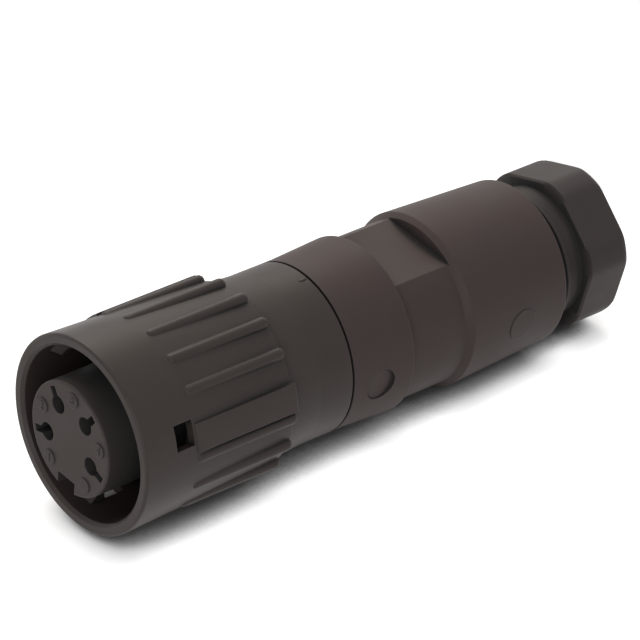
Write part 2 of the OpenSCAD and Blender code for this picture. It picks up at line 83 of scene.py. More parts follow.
class Graph:
    """Adds and links the nodes of one shader tree."""

    # Places of a Mix node's sockets for colours, whose names repeat
    mix_share: ClassVar[int] = 0
    mix_first: ClassVar[int] = 6
    mix_second: ClassVar[int] = 7
    mix_result: ClassVar[int] = 2

    def __init__(self, tree: bpy.types.NodeTree) -> None:
        """Keeps the tree that the nodes go into."""
        self.tree = tree

    def put(self, value: Value, socket: bpy.types.NodeSocket) -> None:
        """Feeds an input.

        Args:
            value: a socket to link, or a plain value to set.
            socket: the input that takes it.
        """
        if isinstance(value, bpy.types.NodeSocket):
            self.tree.links.new(value, socket)
        else:
            socket.default_value = value

    def add(self, kind: str, inputs: dict[str, Value] | None = None, **settings: object) -> bpy.types.Node:
        """Adds a node.

        Args:
            kind: Blender's type name of the node.
            inputs: values or sockets by the name of the input.
            settings: attributes of the node.

        Returns:
            The new node.
        """
        node = self.tree.nodes.new(kind)
        for name, value in settings.items():
            setattr(node, name, value)
        for name, value in (inputs or {}).items():
            self.put(value, node.inputs[name])
        return node

    def math(self, operation: str, *terms: Value) -> bpy.types.NodeSocket:
        """Adds a Math node.

        Args:
            operation: Blender's name of the operation.
            terms: its inputs, in order.

        Returns:
            The result's socket.
        """
        node = self.add("ShaderNodeMath", operation=operation)
        for socket, term in zip(node.inputs, terms):
            self.put(term, socket)
        return node.outputs[0]

    def ramp(self, value: Value, low: Value, high: Value) -> bpy.types.NodeSocket:
        """Maps a value from low..high to a smooth 0..1.

        Args:
            value: what is mapped.
            low: where the result is 0.
            high: where the result is 1.

        Returns:
            The mapped value's socket.
        """
        inputs = {"Value": value, "From Min": low, "From Max": high}
        node = self.add("ShaderNodeMapRange", inputs, interpolation_type="SMOOTHSTEP")
        return node.outputs["Result"]

    def blend(self, share: Value, first: Value, second: Value) -> bpy.types.NodeSocket:
        """Mixes two colours.

        Args:
            share: how much of the second colour shows.
            first: the colour at a share of 0.
            second: the colour at a share of 1.

        Returns:
            The mixed colour's socket.
        """
        node = self.add("ShaderNodeMix", data_type="RGBA")
        self.put(share, node.inputs[self.mix_share])
        self.put(rgba(first), node.inputs[self.mix_first])
        self.put(rgba(second), node.inputs[self.mix_second])
        return node.outputs[self.mix_result]

    def bump(self, height: Value, normal: Value) -> bpy.types.NodeSocket:
        """Adds a Bump node.

        Args:
            height: the surface's height in metres.
            normal: the normal that it starts from.

        Returns:
            The new normal's socket.
        """
        node = self.add("ShaderNodeBump", {"Height": height, "Normal": normal, "Distance": 1.0})
        return node.outputs["Normal"]


def rgba(colour: Value) -> Value:
    """Gives a plain colour its fourth channel and leaves a socket as it is."""
    return (*colour, 1.0) if isinstance(colour, tuple) and len(colour) == 3 else colour


class Effect:
    """A shader effect that several finishes share, as a node group that is built once."""

    name: ClassVar[str] = ""
    inputs: ClassVar[dict[str, float]] = {}
    outputs: ClassVar[dict[str, str]] = {}

    def build(self, graph: Graph, given: bpy.types.Node) -> Sockets:
        """Fills the group.

        Args:
            graph: the group's own tree.
            given: the node that holds the group's inputs.

        Returns:
            The socket behind each output, by name.
        """
        raise NotImplementedError

    def tree(self) -> bpy.types.NodeTree:
        """Gives the node group.

        Returns:
            The group, which the first call makes.
        """
        found = bpy.data.node_groups.get(self.name)
        if found:
            return found
        made = bpy.data.node_groups.new(self.name, "ShaderNodeTree")
        for name, default in self.inputs.items():
            socket = made.interface.new_socket(name, in_out="INPUT", socket_type="NodeSocketFloat")
            socket.default_value = default
        for name, kind in self.outputs.items():
            made.interface.new_socket(name, in_out="OUTPUT", socket_type=kind)
        graph = Graph(made)
        results = self.build(graph, graph.add("NodeGroupInput"))
        graph.add("NodeGroupOutput", results)
        return made

    def place(self, graph: Graph, **values: Value) -> bpy.types.Node:
        """Puts the group into a material.

        Args:
            graph: the material's tree.
            values: the group's inputs, with underscores for the blanks in their names.

        Returns:
            The group's node.
        """
        inputs = {name.replace("_", " "): value for name, value in values.items()}
        return graph.add("ShaderNodeGroup", inputs, node_tree=self.tree())


class MouldedSkin(Effect):
    """Fine grain of a moulded or rolled surface, with slow clouds in its tone."""

    name = "moulded_skin"
    inputs = {"grain scale": 9000.0, "cloud scale": 120.0}
    outputs = {"grain": "NodeSocketFloat", "cloud": "NodeSocketFloat"}
    grain_detail: ClassVar[float] = 2.0
    cloud_detail: ClassVar[float] = 4.0
    cloud_low: ClassVar[float] = 0.3
    cloud_high: ClassVar[float] = 0.7

    def build(self, graph: Graph, given: bpy.types.Node) -> Sockets:
        """Fills the group, as Effect.build says."""
        place = graph.add("ShaderNodeTexCoord").outputs["Object"]
        fine = {"Vector": place, "Scale": given.outputs["grain scale"], "Detail": self.grain_detail}
        slow = {"Vector": place, "Scale": given.outputs["cloud scale"], "Detail": self.cloud_detail}
        grain = graph.add("ShaderNodeTexNoise", fine).outputs["Fac"]
        cloud = graph.add("ShaderNodeTexNoise", slow).outputs["Fac"]
        return {"grain": grain, "cloud": graph.ramp(cloud, self.cloud_low, self.cloud_high)}


class SoftEdge(Effect):
    """Rounds the shading at edges and marks where it does."""

    name = "soft_edge"
    inputs = {"radius": 0.2 * MM}
    outputs = {"normal": "NodeSocketVector", "edge": "NodeSocketFloat"}
    samples: ClassVar[int] = 6
    edge_low: ClassVar[float] = 0.01
    edge_high: ClassVar[float] = 0.25

    def build(self, graph: Graph, given: bpy.types.Node) -> Sockets:
        """Fills the group, as Effect.build says."""
        bevel = graph.add("ShaderNodeBevel", {"Radius": given.outputs["radius"]}, samples=self.samples)
        rounded = bevel.outputs["Normal"]
        plain = graph.add("ShaderNodeNewGeometry").outputs["Normal"]
        dot = graph.add("ShaderNodeVectorMath", operation="DOT_PRODUCT")
        graph.put(rounded, dot.inputs[0])
        graph.put(plain, dot.inputs[1])
        turned = graph.math("SUBTRACT", 1.0, dot.outputs["Value"])
        return {"normal": rounded, "edge": graph.ramp(turned, self.edge_low, self.edge_high)}


class Recess(Effect):
    """Marks the corners, hollows and seams of the pieces by their occlusion, where shade is painted into
    the colour.
    """

    name = "painted_shade"
    inputs = {"reach": 1.5 * MM, "closed": 0.4}
    outputs = {"depth": "NodeSocketFloat"}
    samples: ClassVar[int] = 8
    open_share: ClassVar[float] = 0.95

    def build(self, graph: Graph, given: bpy.types.Node) -> Sockets:
        """Fills the group, as Effect.build says."""
        inputs = {"Distance": given.outputs["reach"]}
        near = graph.add("ShaderNodeAmbientOcclusion", inputs, samples=self.samples)
        return {"depth": graph.ramp(near.outputs["AO"], self.open_share, given.outputs["closed"])}


class PartingLine(Effect):
    """Hairline where the halves of a mould met, in a plane through the plug's axis."""

    name = "parting_line"
    inputs = {"clock": 0.0, "width": 0.1 * MM}
    outputs = {"line": "NodeSocketFloat"}
    outside: ClassVar[float] = 1.0
    inside: ClassVar[float] = 0.2

    def build(self, graph: Graph, given: bpy.types.Node) -> Sockets:
        """Fills the group, as Effect.build says."""
        place = graph.add("ShaderNodeTexCoord").outputs["Object"]
        axes = graph.add("ShaderNodeSeparateXYZ", {"Vector": place})
        clock = given.outputs["clock"]
        across = graph.math("MULTIPLY", axes.outputs["Y"], graph.math("COSINE", clock))
        up = graph.math("MULTIPLY", axes.outputs["Z"], graph.math("SINE", clock))
        distance = graph.math("ABSOLUTE", graph.math("ADD", across, up))
        share = graph.math("DIVIDE", distance, given.outputs["width"])
        return {"line": graph.ramp(share, self.outside, self.inside)}


SKIN = MouldedSkin()
EDGE = SoftEdge()
PAINTED_SHADE = Recess()
PARTING = PartingLine()


def new_material(name: str) -> tuple[bpy.types.Material, Graph, bpy.types.Node]:
    """Makes a material.

    Args:
        name: its name.

    Returns:
        The material, its tree and its Principled shader.
    """
    made = bpy.data.materials.new(name)
    made.use_nodes = True
    return made, Graph(made.node_tree), made.node_tree.nodes["Principled BSDF"]


@dataclass(frozen=True)
class Plastic:
    """Satin moulded plastic with soft edges.

    Args:
        name: name of the material.
        colour: its colour.
        cloud_colour: its colour in the paler clouds.
        edge_colour: its colour along edges, partly wear and partly a painted highlight.
        recess_colour: its painted shade colour in corners and hollows.
        roughness: its least roughness.
        rough_swing: what the clouds add to that.
        specular: its specular level.
        edge_radius: rounding of its edges.
        rubbed: share of the edge colour, wear and painted highlight, on an edge.
        recess_reach: how far the painted shade of a corner or hollow reaches.
        recess_closed: share of open sky at which the painted shade is full.
        recess_share: share of the painted shade colour in the deepest place.
        grain_height: height of its grain.
        parting_clock: clock angle of its parting line in degrees, if it has one.
        line_height: height of the parting line.
        line_share: share of the plain colour on the parting line.
    """

    name: str
    colour: Colour
    cloud_colour: Colour
    edge_colour: Colour
    recess_colour: Colour = (0.022, 0.021, 0.020)
    roughness: float = 0.48
    rough_swing: float = 0.08
    specular: float = 0.2
    edge_radius: float = 0.2 * MM
    rubbed: float = 0.45
    recess_reach: float = 2.0 * MM
    recess_closed: float = 0.4
    recess_share: float = 0.9
    grain_height: float = 0.004 * MM
    parting_clock: float | None = None
    line_height: float = 0.004 * MM
    line_share: float = 0.3

    def material(self) -> bpy.types.Material:
        """Builds the material.

        Returns:
            The material.
        """
        made, graph, shader = new_material(self.name)
        skin = SKIN.place(graph)
        soft = EDGE.place(graph, radius=self.edge_radius)
        painted_shade = PAINTED_SHADE.place(graph, reach=self.recess_reach, closed=self.recess_closed)
        cloud, depth = skin.outputs["cloud"], painted_shade.outputs["depth"]
        tone = graph.blend(cloud, self.colour, self.cloud_colour)
        # Lighter edges: partly wear, partly a painted highlight, kept off the painted shade of corners.
        wear_and_highlight = graph.math("MULTIPLY", soft.outputs["edge"], graph.math("SUBTRACT", 1.0, depth))
        tone = graph.blend(graph.math("MULTIPLY", wear_and_highlight, self.rubbed), tone, self.edge_colour)
        # Painted shade: corners, hollows and seams are darkened by their occlusion.
        tone = graph.blend(graph.math("MULTIPLY", depth, self.recess_share), tone, self.recess_colour)
        height = graph.math("MULTIPLY", skin.outputs["grain"], self.grain_height)
        if self.parting_clock is not None:
            line = PARTING.place(graph, clock=math.radians(self.parting_clock)).outputs["line"]
            height = graph.math("ADD", height, graph.math("MULTIPLY", line, self.line_height))
            tone = graph.blend(graph.math("MULTIPLY", line, self.line_share), tone, self.colour)
        rough = graph.math("MULTIPLY_ADD", cloud, self.rough_swing, self.roughness)
        graph.put(tone, shader.inputs["Base Color"])
        graph.put(rough, shader.inputs["Roughness"])
        graph.put(graph.bump(height, soft.outputs["normal"]), shader.inputs["Normal"])
        shader.inputs["Specular IOR Level"].default_value = self.specular
        return made


@dataclass(frozen=True)
class Rubber:
    """Dull black seal rubber with a bloom in its tone.

    Args:
        name: name of the material.
        colour: its colour.
        bloom_colour: its colour where it has bloomed.
        roughness: its roughness.
        grain_height: height of its grain.
    """

    name: str
    colour: Colour
    bloom_colour: Colour
    roughness: float = 0.75
    grain_height: float = 0.01 * MM

    def material(self) -> bpy.types.Material:
        """Builds the material.

        Returns:
            The material.
        """
        made, graph, shader = new_material(self.name)
        skin = SKIN.place(graph)
        soft = EDGE.place(graph)
        tone = graph.blend(skin.outputs["cloud"], self.colour, self.bloom_colour)
        height = graph.math("MULTIPLY", skin.outputs["grain"], self.grain_height)
        graph.put(tone, shader.inputs["Base Color"])
        graph.put(graph.bump(height, soft.outputs["normal"]), shader.inputs["Normal"])
        shader.inputs["Roughness"].default_value = self.roughness
        return made


@dataclass(frozen=True)
class Metal:
    """Bright metal with a faint tarnish.

    Args:
        name: name of the material.
        colour: its bright colour.
        tarnish_colour: its colour where it has dulled.
        roughness: its roughness where it is bright.
        tarnish_roughness: what tarnish adds to that.
        edge_radius: rounding of its edges.
    """

    name: str
    colour: Colour
    tarnish_colour: Colour
    roughness: float = 0.25
    tarnish_roughness: float = 0.2
    edge_radius: float = 0.05 * MM

    def material(self) -> bpy.types.Material:
        """Builds the material.

        Returns:
            The material.
        """
        made, graph, shader = new_material(self.name)
        cloud = SKIN.place(graph).outputs["cloud"]
        soft = EDGE.place(graph, radius=self.edge_radius)
        rough = graph.math("MULTIPLY_ADD", cloud, self.tarnish_roughness, self.roughness)
        graph.put(graph.blend(cloud, self.colour, self.tarnish_colour), shader.inputs["Base Color"])
        graph.put(rough, shader.inputs["Roughness"])
        graph.put(soft.outputs["normal"], shader.inputs["Normal"])
        shader.inputs["Metallic"].default_value = 1.0
        return made


Finish = Union[Plastic, Rubber, Metal]

# Its painted shade is strong, to darken the ribs' flanks.
RING_PLASTIC = Plastic(
    "ring_plastic",
    colour=(0.0475, 0.0362, 0.0325),
    cloud_colour=(0.0535, 0.0408, 0.0366),
    edge_colour=(0.14, 0.125, 0.11),
    roughness=0.40,
    recess_closed=0.66,
)
# Its painted shade darkens the slope behind the neck and other corners.
SHELL_PLASTIC = Plastic(
    "shell_plastic",
    colour=(0.058, 0.0424, 0.0388),
    cloud_colour=(0.0645, 0.0472, 0.0432),
    edge_colour=(0.14, 0.12, 0.105),
    roughness=0.52,
    recess_closed=0.6,
    parting_clock=8.0,
)
# Its painted shade reaches far, to darken the nose's side inside the ring's mouth.
INSERT_PLASTIC = Plastic(
    "insert_plastic",
    colour=(0.046, 0.034, 0.031),
    cloud_colour=(0.052, 0.0385, 0.035),
    edge_colour=(0.19, 0.17, 0.155),
    recess_colour=(0.038, 0.0375, 0.037),
    edge_radius=0.12 * MM,
    recess_reach=6.0 * MM,
    recess_closed=0.55,
)
# Its painted shade darkens the shank between the backshell and the head.
SCREW_PLASTIC = Plastic(
    "screw_plastic",
    colour=(0.045, 0.0365, 0.035),
    cloud_colour=(0.050, 0.041, 0.039),
    edge_colour=(0.09, 0.085, 0.08),
    recess_colour=(0.032, 0.0315, 0.031),
    recess_reach=4.0 * MM,
    recess_closed=0.55,
)
BARREL_PLASTIC = Plastic(
    "barrel_plastic",
    colour=(0.018, 0.0165, 0.0155),
    cloud_colour=(0.022, 0.020, 0.019),
    edge_colour=(0.06, 0.06, 0.06),
)
SEAL_RUBBER = Rubber("seal_rubber", colour=(0.010, 0.010, 0.010), bloom_colour=(0.016, 0.016, 0.016))
CONTACT_BRASS = Metal("contact_brass", colour=(0.80, 0.62, 0.30), tarnish_colour=(0.60, 0.42, 0.17))
SPRING_STEEL = Metal("spring_steel", colour=(0.62, 0.62, 0.63), tarnish_colour=(0.46, 0.45, 0.44))


class Workshop:
    """Keeps one material for each finish and puts it on the pieces."""

    def __init__(self) -> None:
        """Starts with no material made."""
        self.made: dict[str, bpy.types.Material] = {}

    def dress(self, piece: bpy.types.Object, finish: Finish) -> None:
        """Gives a piece one finish all over.

        Args:
            piece: a node of the frame or a mesh made here.
            finish: its finish.
        """
        if finish.name not in self.made:
            self.made[finish.name] = finish.material()
        piece.data.materials.clear()
        piece.data.materials.append(self.made[finish.name])
        LOG.info("%s in %s", piece.name, finish.name)

    def dress_node(self, node: str, finish: Finish) -> None:
        """Gives a node of the frame one finish."""
        self.dress(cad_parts[node], finish)


def on_clock(x: float, radius: float, clock: float) -> Vector:
    """Gives the point at a station, a distance from the axis and a clock angle in radians."""
    return Vector((x, -radius * math.sin(clock), radius * math.cos(clock)))


def quarter_arc(steps: int) -> list[float]:
    """Gives the angles of a quarter turn in equal steps, from 0."""
    return [QUARTER_TURN * i / steps for i in range(steps + 1)]


def eased(share: float) -> float:
    """Eases a share at both ends of 0..1."""
    return share * share * (3 - 2 * share)


def smooth_faces(mesh: bpy.types.Mesh) -> None:
    """Shades all the faces of a mesh smooth."""
    mesh.polygons.foreach_set("use_smooth", [True] * len(mesh.polygons))


def new_piece(name: str, mesh: bpy.types.Mesh, body: Body) -> bpy.types.Object:
    """Makes a piece of a mesh.

    Args:
        name: name of the piece.
        mesh: its mesh, in the plug's frame.
        body: the body that it moves with.

    Returns:
        The piece, in place and riding on its body.
    """
    piece = bpy.data.objects.new(name, mesh)
    bpy.context.scene.collection.objects.link(piece)
    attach(piece, body.value)
    return piece


def mesh_from(name: str, points: Iterable[Vector], faces: Iterable[Sequence[int]]) -> bpy.types.Mesh:
    """Makes a smooth mesh with sharp edges where it turns.

    Args:
        name: name of the mesh.
        points: its corners.
        faces: its faces, as indices of corners.

    Returns:
        The mesh, with its faces turned outwards.
    """
    mesh = bpy.data.meshes.new(name)
    mesh.from_pydata([tuple(point) for point in points], [], [tuple(face) for face in faces])
    work = bmesh.new()
    work.from_mesh(mesh)
    bmesh.ops.recalc_face_normals(work, faces=work.faces)
    work.to_mesh(mesh)
    work.free()
    smooth_faces(mesh)
    mesh.set_sharp_from_angle(angle=SHARP_ANGLE)
    return mesh


def strip(here: int, there: int, count: int) -> list[tuple[int, ...]]:
    """Gives the faces between two closed rows of corners.

    Args:
        here: index of the first row's first corner.
        there: index of the second row's first corner.
        count: corners in a row.

    Returns:
        The faces, as indices of corners.
    """
    sides = [(i, (i + 1) % count) for i in range(count)]
    return [(here + first, here + last, there + last, there + first) for first, last in sides]


@dataclass(frozen=True)
class Row:
    """One ring of points round the axis.

    Args:
        x: its station.
        radius: its radius as a function of the clock angle.
    """

    x: float
    radius: Callable[[float], float]


def round_row(x: float, radius: float) -> Row:
    """Gives a row of one radius."""
    return Row(x, lambda clock: radius)


def tube_mesh(name: str, rows: Sequence[Row], steps: int) -> bpy.types.Mesh:
    """Skins rows that follow a closed section round the axis.

    Args:
        name: name of the mesh.
        rows: the rows, the last of which joins the first.
        steps: points in a row.

    Returns:
        The mesh.
    """
    clocks = [FULL_TURN * i / steps for i in range(steps)]
    points = [on_clock(row.x, row.radius(clock), clock) for row in rows for clock in clocks]
    faces: list[Sequence[int]] = []
    for i in range(len(rows)):
        faces += strip(i * steps, (i + 1) % len(rows) * steps, steps)
    return mesh_from(name, points, faces)


@dataclass
class CouplingRing:
    """Turning ring with its grips, windows and the scar of its moulding gate.

    Args:
        node: its node in the frame.
        tail_r: its radius at the scar.
        scar_clock: clock angle of the scar.
        scar_inset: the scar's distance from the ring's rear edge.
        scar_size: half of the scar's length, width and height.
        scar_segments: faces round the scar.
    """

    node: str = "coupling_ring"
    tail_r: float = 10.87 * MM
    scar_clock: float = math.radians(10)
    scar_inset: float = 0.75 * MM
    scar_size: tuple[float, float, float] = (0.62 * MM, 0.25 * MM, 0.12 * MM)
    scar_segments: int = 24

    def build_scar(self) -> bpy.types.Object:
        """Builds the low oval nub near the rear edge.

        Returns:
            The piece.
        """
        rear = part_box(self.node)[1].x
        around, over = self.scar_segments, self.scar_segments // 2
        work = bmesh.new()
        bmesh.ops.create_uvsphere(work, u_segments=around, v_segments=over, radius=1.0)
        place = (
            Matrix.Translation(on_clock(rear - self.scar_inset, self.tail_r, self.scar_clock))
            @ Matrix.Rotation(self.scar_clock, 4, "X")
            @ Matrix.Diagonal((*self.scar_size, 1.0))
        )
        work.transform(place)
        mesh = bpy.data.meshes.new("gate_scar")
        work.to_mesh(mesh)
        work.free()
        smooth_faces(mesh)
        return new_piece("gate_scar", mesh, Body.RING)

    def build(self, shop: Workshop) -> None:
        """Dresses the ring and adds its scar."""
        shop.dress_node(self.node, RING_PLASTIC)
        shop.dress(self.build_scar(), RING_PLASTIC)


@dataclass
class ContactInsert:
    """Keyed insert with its contacts and the plain numbers of its contact places.

    Args:
        node: its node in the frame.
        contacts: number of its contacts.
        key_clock: clock angle of its key notch.
        places: number of its bosses, the first of which lies half a pitch from the notch.
        boss_pitch_r: the bosses' distance from the axis.
        number_size: size of the numbers' type.
        number_height: how far the numbers stand proud.
    """

    node: str = "contact_insert"
    contacts: int = 4
    key_clock: float = math.radians(185)
    places: int = 5
    boss_pitch_r: float = 5.6 * MM
    number_size: float = 1.5 * MM
    number_height: float = 0.07 * MM

    def number_mesh(self, number: int) -> bpy.types.Mesh:
        """Makes the mesh of one raised number, flat in its own XY plane.

        Args:
            number: the number.

        Returns:
            The mesh.
        """
        curve = bpy.data.curves.new(f"number_{number}", "FONT")
        curve.body = str(number)
        curve.size = self.number_size
        curve.extrude = self.number_height
        curve.align_x = "CENTER"
        curve.align_y = "CENTER"
        holder = bpy.data.objects.new(f"number_{number}_curve", curve)
        bpy.context.scene.collection.objects.link(holder)
        depsgraph = bpy.context.evaluated_depsgraph_get()
        mesh = bpy.data.meshes.new_from_object(holder.evaluated_get(depsgraph))
        bpy.data.objects.remove(holder)
        return mesh

    def build_number(self, number: int) -> bpy.types.Object:
        """Builds one number on its boss.

        Args:
            number: the number, counted round from the key notch.

        Returns:
            The piece.
        """
        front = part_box(self.node)[0].x
        clock = self.key_clock + (number - 0.5) * FULL_TURN / self.places
        mesh = self.number_mesh(number)
        upright = Matrix.Rotation(self.key_clock - math.pi, 4, "X")
        mesh.transform(Matrix.Translation(on_clock(front, self.boss_pitch_r, clock)) @ upright @ FACE_FRONT)
        return new_piece(f"contact_number_{number}", mesh, Body.HOUSING)

    def build(self, shop: Workshop) -> None:
        """Dresses the insert and its contacts and adds the numbers.

        Args:
            shop: the workshop that holds the finishes.
        """
        shop.dress_node(self.node, INSERT_PLASTIC)
        for i in range(1, self.contacts + 1):
            shop.dress_node(f"contact_{i}", CONTACT_BRASS)
            shop.dress_node(f"contact_hood_{i}", SPRING_STEEL)
            shop.dress(self.build_number(i), INSERT_PLASTIC)


@dataclass
class Barrel:
    """Barrel with what is held inside it and what seals and springs against it.

    Args:
        plastic_nodes: its moulded nodes.
        rubber_nodes: its seals.
        steel_nodes: its springs.
    """

    plastic_nodes: tuple[str, ...] = ("barrel", "contact_retainer", "spacer_sleeve")
    rubber_nodes: tuple[str, ...] = ("mating_seal", "barrel_oring")
    steel_nodes: tuple[str, ...] = ("wave_spring",)

    def build(self, shop: Workshop) -> None:
        """Dresses the pieces.

        Args:
            shop: the workshop that holds the finishes.
        """
        for nodes, finish in (
            (self.plastic_nodes, BARREL_PLASTIC),
            (self.rubber_nodes, SEAL_RUBBER),
            (self.steel_nodes, SPRING_STEEL),
        ):
            for node in nodes:
                shop.dress_node(node, finish)


@dataclass
class Backshell:
    """Backshell with the cable seal and the slip ring inside it.

    Args:
        node: its node in the frame.
        seal_node: the cable seal's node.
        slip_node: the slip ring's node.
    """

    node: str = "backshell"
    seal_node: str = "gland_seal"
    slip_node: str = "slip_ring"

    def build(self, shop: Workshop) -> None:
        """Dresses the pieces.

        Args:
            shop: the workshop that holds the finishes.
        """
        shop.dress_node(self.node, SHELL_PLASTIC)
        shop.dress_node(self.seal_node, SEAL_RUBBER)
        shop.dress_node(self.slip_node, SPRING_STEEL)


@dataclass
class ClampScrew:
    """Hollow hexagonal clamping screw, as a soft-edged moulding with its thread.

    Args:
        node: its node in the frame.
        nose_len: length of the plain nose in front of the thread.
        nose_r: radius of the nose.
        root_r: radius of the shank between the thread's turns.
        head_len: length of the head.
        head_clock: clock angle of the middle of a flat.
        head_sides: flats round the head.
        half_af: half of the width across the flats.
        corner_r: radius over the head's corners.
        corner_softness: how sharply the corners turn.
        corner_drop: how much smaller the corners are at the head's rear.
        head_chamfer: chamfer at the head's front.
        head_edge: distance from the head's rear over which the corners drop.
        rim_edge: rounding of the head's rear edge.
        entry_r: radius of the cable's entry.
        entry_edge: rounding of the entry's mouth.
        steps: points round the screw.
        edge_steps: steps of a rounding.
        undercut_len: length of the plain shank below the head.
        thread_inset: distance of the thread from the nose and from the plain shank.
        pitch: the thread's pitch.
        crest_r: radius of the thread's crest.
        crest_w: width of the crest.
        foot_w: width of the thread's foot.
        foot_sink: how deep the foot is sunk into the shank.
        run_out: turns over which the thread fades at its ends.
        turn_steps: steps in a turn of the thread.
    """

    # Corners of the thread's section
    thread_corners: ClassVar[int] = 4

    node: str = "clamp_screw"
    nose_len: float = 1.5 * MM
    nose_r: float = 6.5 * MM
    root_r: float = 8.4 * MM
    head_len: float = 6.3 * MM
    head_clock: float = math.radians(45)
    head_sides: int = 6
    half_af: float = 9.5 * MM
    corner_r: float = 10.2 * MM
    corner_softness: float = 90.0
    corner_drop: float = 0.15 * MM
    head_chamfer: float = 0.25 * MM
    head_edge: float = 1.0 * MM
    rim_edge: float = 0.4 * MM
    entry_r: float = 5.6 * MM
    entry_edge: float = 1.0 * MM
    steps: int = 288
    edge_steps: int = 8
    undercut_len: float = 1.3 * MM
    thread_inset: float = 0.5 * MM
    pitch: float = 1.5 * MM
    crest_r: float = 8.9 * MM
    crest_w: float = 0.45 * MM
    foot_w: float = 1.05 * MM
    foot_sink: float = 0.06 * MM
    run_out: float = 0.25
    turn_steps: int = 96

    def head_radius(self, clock: float, turned_r: float) -> float:
        """Gives the head's radius, a softened smaller one of its hexagon and a turned outline.

        Args:
            clock: clock angle.
            turned_r: the turned outline's radius at this station.

        Returns:
            The radius.
        """
        side = FULL_TURN / self.head_sides
        off = (clock - self.head_clock + side / 2) % side - side / 2
        flat_r = self.half_af / math.cos(off)
        softness = self.corner_softness
        total = (flat_r / self.half_af) ** -softness + (turned_r / self.half_af) ** -softness
        return total ** (-1 / softness) * self.half_af

    def head_row(self, x: float, turned_r: float, inset: float = 0.0) -> Row:
        """Gives a row of the head.

        Args:
            x: its station.
            turned_r: the turned outline's radius there.
            inset: how far the row lies inside that outline.

        Returns:
            The row.
        """
        return Row(x, lambda clock: self.head_radius(clock, turned_r) - inset)

    def rows(self) -> list[Row]:
        """Gives the rows of the screw's section.

        Returns:
            The rows, from the screw's front over its outside and back through its bore.
        """
        low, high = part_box(self.node)
        front, rear = low.x, high.x
        head_x = rear - self.head_len
        arc = quarter_arc(self.edge_steps)
        rows = [
            round_row(front, self.nose_r),
            round_row(front + self.nose_len, self.nose_r),
            round_row(front + self.nose_len, self.root_r),
            round_row(head_x, self.root_r),
            self.head_row(head_x, self.corner_r - self.head_chamfer, self.head_chamfer),
            self.head_row(head_x + self.head_chamfer, self.corner_r),
        ]
        for angle in arc:
            turned_r = self.corner_r - self.corner_drop * (1 - math.cos(angle))
            x = rear - self.head_edge + (self.head_edge - self.rim_edge) * math.sin(angle)
            rows.append(self.head_row(x, turned_r))
        turned_r = self.corner_r - self.corner_drop
        for angle in arc[1:]:
            x = rear - self.rim_edge * (1 - math.sin(angle))
            rows.append(self.head_row(x, turned_r, self.rim_edge * (1 - math.cos(angle))))
        for angle in arc:
            radius = self.entry_r + self.entry_edge * (1 - math.sin(angle))
            rows.append(round_row(rear - self.entry_edge * (1 - math.cos(angle)), radius))
        rows.append(round_row(front, self.entry_r))
        return rows

    def thread_mesh(self) -> bpy.types.Mesh:
        """Makes the helical ridge on the shank, which fades out at both ends.

        Returns:
            The mesh.
        """
        low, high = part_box(self.node)
        start = low.x + self.nose_len + self.thread_inset
        length = high.x - self.head_len - self.undercut_len - self.thread_inset - start
        turns = length / self.pitch
        count = round(turns * self.turn_steps)
        foot_r = self.root_r - self.foot_sink
        foot, crest = self.foot_w / 2, self.crest_w / 2
        points: list[Vector] = []
        for i in range(count + 1):
            turn = turns * i / count
            share = eased(min(1.0, turn / self.run_out, (turns - turn) / self.run_out))
            crest_r = foot_r + (self.crest_r - foot_r) * share
            x = start + self.pitch * turn
            section = ((foot_r, -foot), (crest_r, -crest), (crest_r, crest), (foot_r, foot))
            points += [on_clock(x + offset, radius, FULL_TURN * turn) for radius, offset in section]
        corners = self.thread_corners
        faces: list[Sequence[int]] = []
        for i in range(count):
            faces += strip(corners * i, corners * (i + 1), corners)
        faces += [range(corners), range(corners * count, corners * (count + 1))]
        return mesh_from("screw_thread", points, faces)

    def build(self, shop: Workshop) -> None:
        """Builds the screw in place of its plain solid and adds its thread.

        Args:
            shop: the workshop that holds the finishes.
        """
        mesh = tube_mesh("clamp_screw_moulding", self.rows(), self.steps)
        moulding = new_piece("clamp_screw_moulding", mesh, Body.SCREW)
        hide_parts(self.node)
        shop.dress(moulding, SCREW_PLASTIC)
        shop.dress_node(self.node, SCREW_PLASTIC)
        thread = new_piece("screw_thread", self.thread_mesh(), Body.SCREW)
        shop.dress(thread, SCREW_PLASTIC)


@dataclass
class Lamp:
    """Soft square lamp that points at the plug.

    Args:
        name: its name.
        place: where it stands.
        size: length of its side.
        power: its power in watts.
        colour: colour of its light.
    """

    name: str
    place: tuple[float, float, float]
    size: float
    power: float
    colour: Colour = WHITE

    def build(self, target: Vector) -> None:
        """Builds the lamp.

        Args:
            target: what it points at.
        """
        data = bpy.data.lights.new(self.name, "AREA")
        data.size = self.size
        data.energy = self.power
        data.color = self.colour
        lamp = bpy.data.objects.new(self.name, data)
        lamp.location = self.place
        lamp.rotation_mode = "QUATERNION"
        lamp.rotation_quaternion = (target - Vector(self.place)).to_track_quat("-Z", "Y")
        bpy.context.scene.collection.objects.link(lamp)


def seen_directly(graph: Graph) -> bpy.types.NodeSocket:
    """Adds nodes that tell whether the camera, a gloss or a glass shows a place.

    Args:
        graph: the tree that they go into.

    Returns:
        The socket that is 1 there, and 0 where the place only lights the plug.
    """
    path = graph.add("ShaderNodeLightPath")
    gloss = graph.math("MAXIMUM", path.outputs["Is Glossy Ray"], path.outputs["Is Transmission Ray"])
    return graph.math("MAXIMUM", path.outputs["Is Camera Ray"], gloss)


